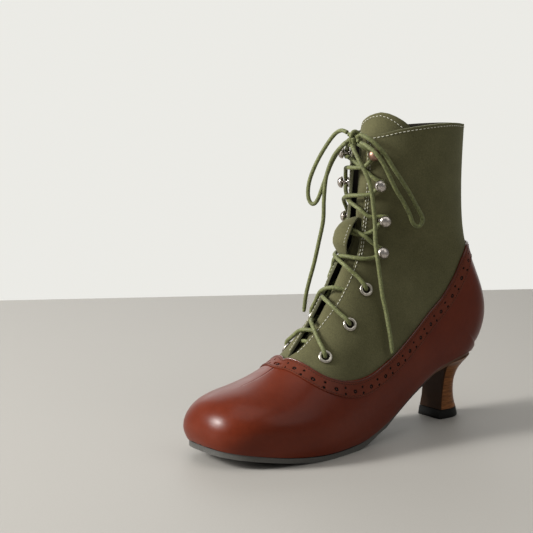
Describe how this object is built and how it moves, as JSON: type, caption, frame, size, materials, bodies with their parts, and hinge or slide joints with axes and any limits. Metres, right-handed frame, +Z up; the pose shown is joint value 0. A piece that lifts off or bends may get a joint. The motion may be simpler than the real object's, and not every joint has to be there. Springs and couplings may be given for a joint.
{
  "type": "lace-up heeled boot",
  "caption": "Ankle boot for a left foot with a brown leather galosh, an olive nubuck shaft laced through eyelets and round hooks, and a curved stacked heel.",
  "frame": {"origin": "on the floor under the middle of the boot's length and width", "axes": "+Z up, -Y towards the toe, +X towards the outer (lateral) side"},
  "size_m": [0.0856, 0.2443, 0.2193],
  "materials": {
    "olive_nubuck": "matt nubuck",
    "brown_leather": "polished",
    "sole_rubber": "satin",
    "stacked_wood": "polished",
    "top_piece": "matt",
    "dark_lining": "matt",
    "hardware": "antique nickel",
    "lace": "waxed cord"
  },
  "bodies": {
    "root": {"outsole": "sole_rubber", "insole": "dark_lining", "heel": "stacked_wood", "heel_tip": "top_piece", "upper": "olive_nubuck", "galosh": "brown_leather", "tongue": "olive_nubuck", "lace_keeper": "olive_nubuck", "eyelet_lat_1": "hardware", "eyelet_lat_2": "hardware", "eyelet_lat_3": "hardware", "hook_lat_1": "hardware", "hook_lat_2": "hardware", "hook_lat_3": "hardware", "hook_lat_4": "hardware", "eyelet_med_1": "hardware", "eyelet_med_2": "hardware", "eyelet_med_3": "hardware", "hook_med_1": "hardware", "hook_med_2": "hardware", "hook_med_3": "hardware", "hook_med_4": "hardware", "lace_cross_1": "lace", "lace_cross_2": "lace", "lace_cross_3": "lace", "lace_cross_4": "lace", "lace_cross_5": "lace", "lace_cross_6": "lace", "lace_knot": "lace", "lace_loop_left": "lace", "lace_loop_right": "lace", "lace_end_left": "lace", "lace_end_right": "lace"}
  },
  "joints": []
}
